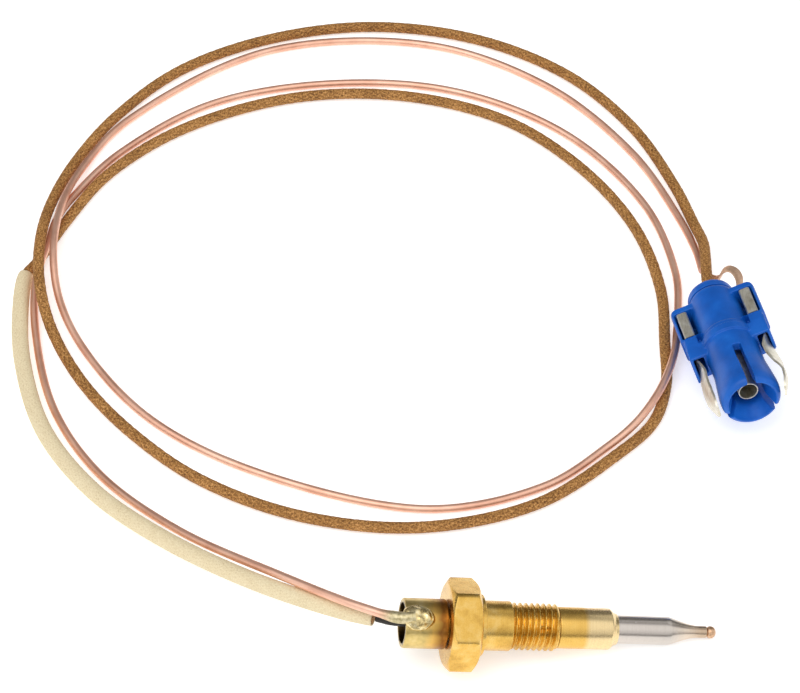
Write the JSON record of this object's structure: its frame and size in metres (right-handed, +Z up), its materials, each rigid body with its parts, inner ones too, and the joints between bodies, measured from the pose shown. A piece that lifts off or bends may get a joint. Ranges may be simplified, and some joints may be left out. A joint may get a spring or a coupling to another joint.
{
  "type": "thermocouple",
  "caption": "Gas hob thermocouple: threaded brass gland and drawn steel probe, a bare copper lead and a braided lead in a loop, and a plug housing with spring clips.",
  "frame": {"origin": "bottom centre of the bounding box of the probe head, without its leads and plug, on the plane the part lies on", "axes": "+X along the probe towards its tip, seen from above; +Z up; +Y across the probe, towards the far side of the lead's loop"},
  "size_m": [0.1387, 0.1658, 0.0166],
  "materials": {
    "gland_brass": "turned",
    "cup_brass": "heat tinted",
    "braze": "cast",
    "copper": "drawn",
    "probe_steel": "polished",
    "bead_alloy": "welded",
    "spring_steel": "rolled",
    "wire_alloy": "drawn",
    "blue_plastic": "moulded",
    "brown_braid": "varnished glass-fibre braid",
    "cream_sleeve": "glass-fibre braid",
    "dark_bush": "matte",
    "ceramic": "fired"
  },
  "bodies": {
    "probe": {"nose_sleeve": "gland_brass", "rear_cup": "cup_brass", "braze_joint": "braze", "cup_bush": "dark_bush", "splice_crimp": "wire_alloy", "inner_wire": "wire_alloy", "rear_insulator": "ceramic", "front_insulator": "ceramic", "probe_sheath": "probe_steel", "hot_junction_bead": "bead_alloy", "insulated_lead": "brown_braid", "lead_in_sleeve": "brown_braid", "heat_sleeve": "cream_sleeve", "lead_core_rear": "dark_bush", "copper_lead": "copper", "ground_tail": "copper", "connector_housing": "blue_plastic", "connector_rear_bush": "blue_plastic", "contact_tube": "spring_steel", "contact_crimp": "spring_steel", "lead_core_front": "copper"},
    "gland": {"gland_nut": "gland_brass"},
    "right_clip": {"spring_clip_right": "spring_steel"},
    "left_clip": {"spring_clip_left": "spring_steel"}
  },
  "joints": [
    {"name": "gland_turn", "type": "hinge", "parent": "probe", "child": "gland", "pos_m": [-0.01312, 0, 0.0077], "axis": [0.9863, 0, -0.1651], "continuous": true},
    {"name": "right_clip_flex", "type": "hinge", "parent": "probe", "child": "right_clip", "pos_m": [0.04419, 0.06636, 0.0094], "axis": [0.3358, -0.1027, -0.9363], "range_deg": [0, 1.7], "stiffness_Nm_per_rad": 0.3},
    {"name": "left_clip_flex", "type": "hinge", "parent": "probe", "child": "left_clip", "pos_m": [0.03125, 0.0646, 0.00495], "axis": [-0.3358, 0.1027, 0.9363], "range_deg": [0, 1.7], "stiffness_Nm_per_rad": 0.3}
  ]
}
